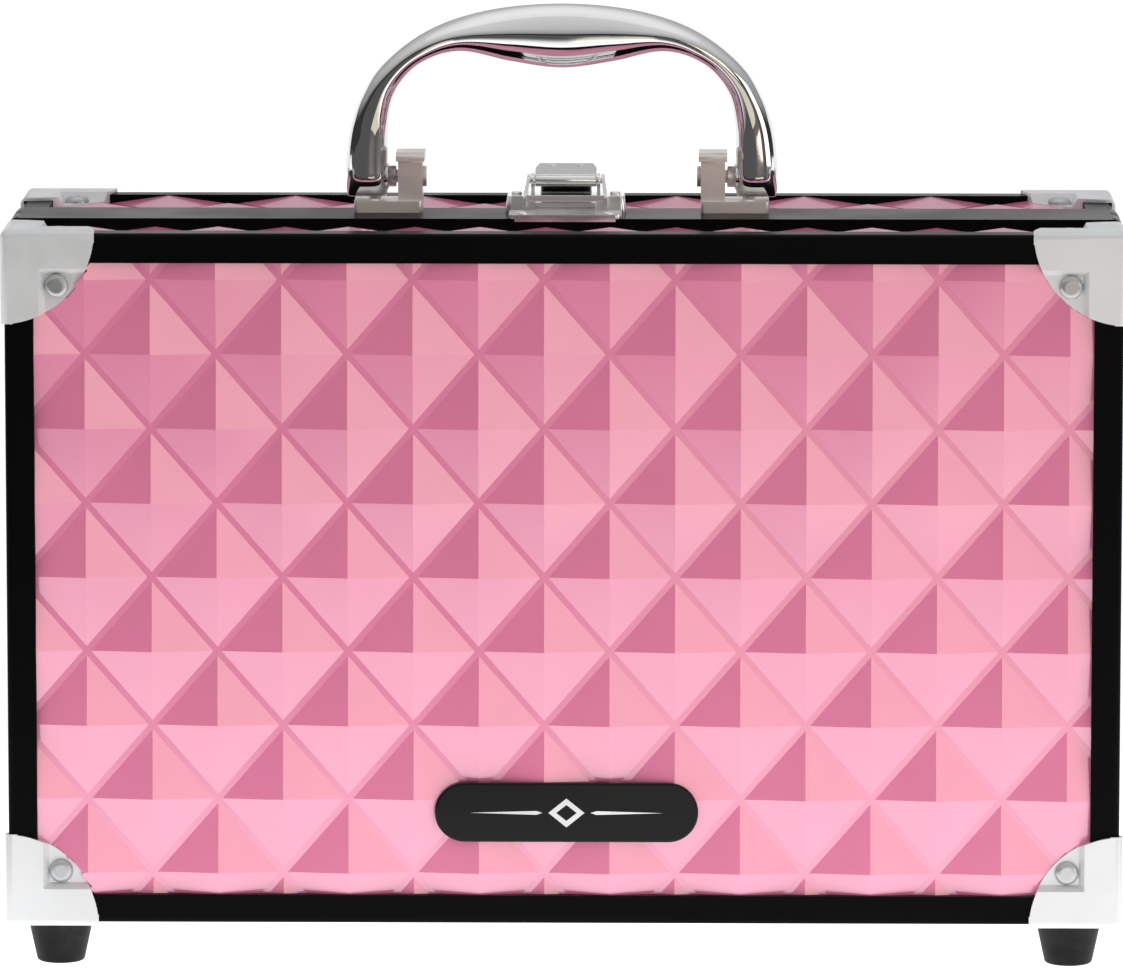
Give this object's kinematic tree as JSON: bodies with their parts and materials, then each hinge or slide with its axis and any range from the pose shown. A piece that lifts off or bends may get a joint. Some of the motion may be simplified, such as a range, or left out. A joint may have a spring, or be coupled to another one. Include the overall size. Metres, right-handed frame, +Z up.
{
  "type": "makeup train case",
  "caption": "Hard makeup train case with embossed panels, metal edging, carrying handle, draw latch and hinged lid.",
  "frame": {"origin": "on the floor under the middle of the case, standing on its four feet", "axes": "+X to the right seen from the front, +Y from the lid to the base (rear), +Z up through the handle"},
  "size_m": [0.2606, 0.0886, 0.2229],
  "materials": {
    "pink_skin": "satin-gloss embossed ABS sheet, pink",
    "board": "thin fibreboard, hidden",
    "black_edging": "black anodised aluminium extrusion",
    "corner_steel": "satin silver plated pressed steel",
    "rivet_steel": "bright domed rivet",
    "foot_rubber": "black moulded rubber",
    "screw_steel": "zinc plated",
    "badge_gloss": "gloss black",
    "emblem_silver": "thin silver inlay",
    "lining_fabric": "black brushed lining",
    "mirror_glass": "silvered mirror",
    "trim_plastic": "black moulded trim",
    "divider_fabric": "black padded dividers",
    "hinge_steel": "nickel plated steel",
    "bracket_nickel": "satin nickel plated die casting",
    "handle_chrome": "polished chrome plating",
    "latch_nickel": "bright nickel plated pressed steel"
  },
  "bodies": {
    "base": {"rear_skin": "pink_skin", "rear_board": "board", "base_wall_skins": "pink_skin", "base_wall_boards": "board", "rear_edge_rails": "black_edging", "base_corner_posts": "black_edging", "base_rim_rails": "black_edging", "base_corner_top_right": "corner_steel", "base_corner_top_left": "corner_steel", "base_corner_bottom_right": "corner_steel", "base_corner_bottom_left": "corner_steel", "base_corner_rivets": "rivet_steel", "rear_right_foot": "foot_rubber", "rear_left_foot": "foot_rubber", "base_foot_screws": "screw_steel", "base_lining": "lining_fabric", "long_divider": "divider_fabric", "short_dividers": "divider_fabric", "base_hinge_leaf_left": "hinge_steel", "base_hinge_leaf_right": "hinge_steel", "hinge_pin_left": "hinge_steel", "hinge_pin_right": "hinge_steel", "base_hinge_rivets": "hinge_steel", "handle_bracket_right": "bracket_nickel", "handle_bracket_left": "bracket_nickel", "handle_pins": "bracket_nickel", "bracket_rivets": "bracket_nickel", "latch_body": "latch_nickel", "latch_rivets": "latch_nickel", "lever_pin": "latch_nickel"},
    "lid": {"front_skin": "pink_skin", "front_board": "board", "lid_wall_skins": "pink_skin", "lid_wall_boards": "board", "front_edge_rails": "black_edging", "lid_corner_posts": "black_edging", "lid_rim_rails": "black_edging", "lid_corner_top_right": "corner_steel", "lid_corner_top_left": "corner_steel", "lid_corner_bottom_right": "corner_steel", "lid_corner_bottom_left": "corner_steel", "lid_corner_rivets": "rivet_steel", "front_right_foot": "foot_rubber", "front_left_foot": "foot_rubber", "lid_foot_screws": "screw_steel", "badge": "badge_gloss", "badge_emblem": "emblem_silver", "lid_lining": "lining_fabric", "mirror": "mirror_glass", "mirror_trims": "trim_plastic", "lid_hinge_leaf_left": "hinge_steel", "lid_hinge_leaf_right": "hinge_steel", "lid_hinge_rivets": "hinge_steel", "latch_catch": "latch_nickel", "catch_rivets": "latch_nickel"},
    "handle": {"handle_bow": "handle_chrome"},
    "lever": {"latch_lever": "latch_nickel", "bail_pin": "latch_nickel", "lever_rivets": "latch_nickel"},
    "bail": {"latch_bail": "latch_nickel"}
  },
  "joints": [
    {"name": "lid_hinge", "type": "hinge", "parent": "base", "child": "lid", "pos_m": [0, -0.008, 0.0082], "axis": [1, 0, 0], "range_deg": [0, 105]},
    {"name": "handle_swing", "type": "hinge", "parent": "base", "child": "handle", "pos_m": [-0.001, -0.001, 0.1821], "axis": [1, 0, 0], "range_deg": [-90, 90]},
    {"name": "latch_lever", "type": "hinge", "parent": "base", "child": "lever", "pos_m": [0, -0.0056, 0.1817], "axis": [1, 0, 0], "range_deg": [0, 105]},
    {"name": "latch_bail", "type": "hinge", "parent": "lever", "child": "bail", "pos_m": [0, -0.0008, 0.1811], "axis": [1, 0, 0], "range_deg": [-140, 0]}
  ],
  "couplings": [
    {"joint": "latch_bail", "follows": "latch_lever", "ratio": -1.3}
  ]
}
